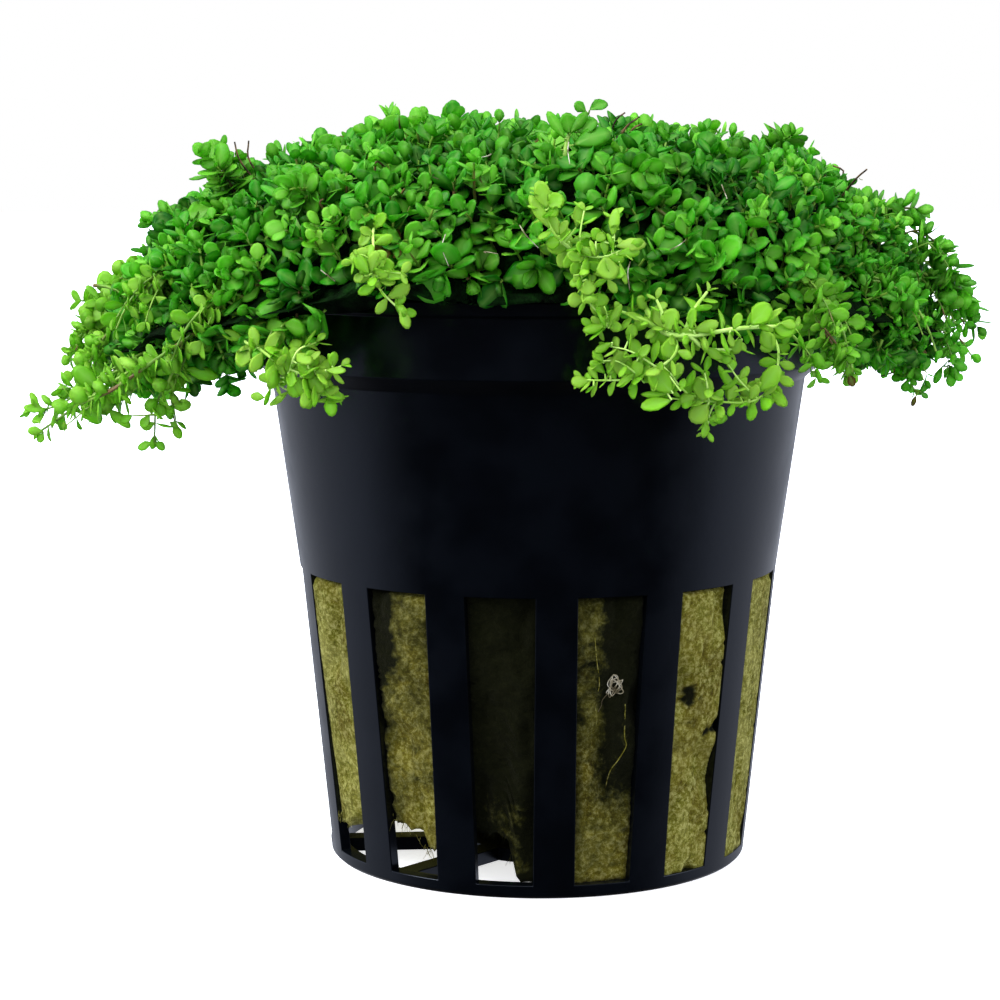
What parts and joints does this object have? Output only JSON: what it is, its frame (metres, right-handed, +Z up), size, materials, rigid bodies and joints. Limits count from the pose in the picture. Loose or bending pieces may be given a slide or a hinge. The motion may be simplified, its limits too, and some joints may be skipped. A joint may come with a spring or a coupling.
{
  "type": "potted dwarf baby tears",
  "caption": "Creeping small-leaved aquarium plant rooted in mineral wool, domed over a black slotted net pot and trailing down its sides.",
  "frame": {"origin": "middle of the underside of the pot's base, where it stands on the floor", "axes": "+Z up along the pot's axis, -Y towards the front of the picture, +X to the right of the picture along the canopy's widest spread"},
  "size_m": [0.0884, 0.0722, 0.0668],
  "materials": {
    "pot_plastic": "glossy black moulded polypropylene",
    "mineral_wool": "matt olive fibre",
    "leaf": "smooth waxy green leaf",
    "young_leaf": "smooth waxy yellow-green leaf"
  },
  "bodies": {
    "root": {"crown_sprig_1": "leaf", "crown_sprig_2": "leaf", "crown_sprig_3": "leaf", "crown_sprig_4": "leaf", "crown_sprig_5": "leaf", "front_hanging_stem": "young_leaf", "front_left_sprig": "young_leaf", "front_left_tuft": "young_leaf", "front_long_stem": "young_leaf", "front_looping_stem": "young_leaf", "front_pale_stem": "young_leaf", "front_upright_stem": "young_leaf", "leaf_mat": "leaf", "net_pot": "pot_plastic", "shoulder_stem_01": "leaf", "shoulder_stem_02": "leaf", "shoulder_stem_03": "leaf", "shoulder_stem_04": "leaf", "shoulder_stem_05": "leaf", "shoulder_stem_06": "leaf", "skirt_stem_01": "leaf", "skirt_stem_02": "leaf", "skirt_stem_03": "leaf", "skirt_stem_04": "leaf", "skirt_stem_05": "leaf", "skirt_stem_06": "leaf", "skirt_stem_07": "leaf", "skirt_stem_08": "leaf", "skirt_stem_09": "leaf", "skirt_stem_10": "leaf", "skirt_stem_11": "leaf", "skirt_stem_12": "leaf", "skirt_stem_13": "leaf", "skirt_stem_14": "leaf", "skirt_stem_15": "leaf", "skirt_stem_16": "leaf", "wool_plug": "mineral_wool"}
  },
  "joints": []
}
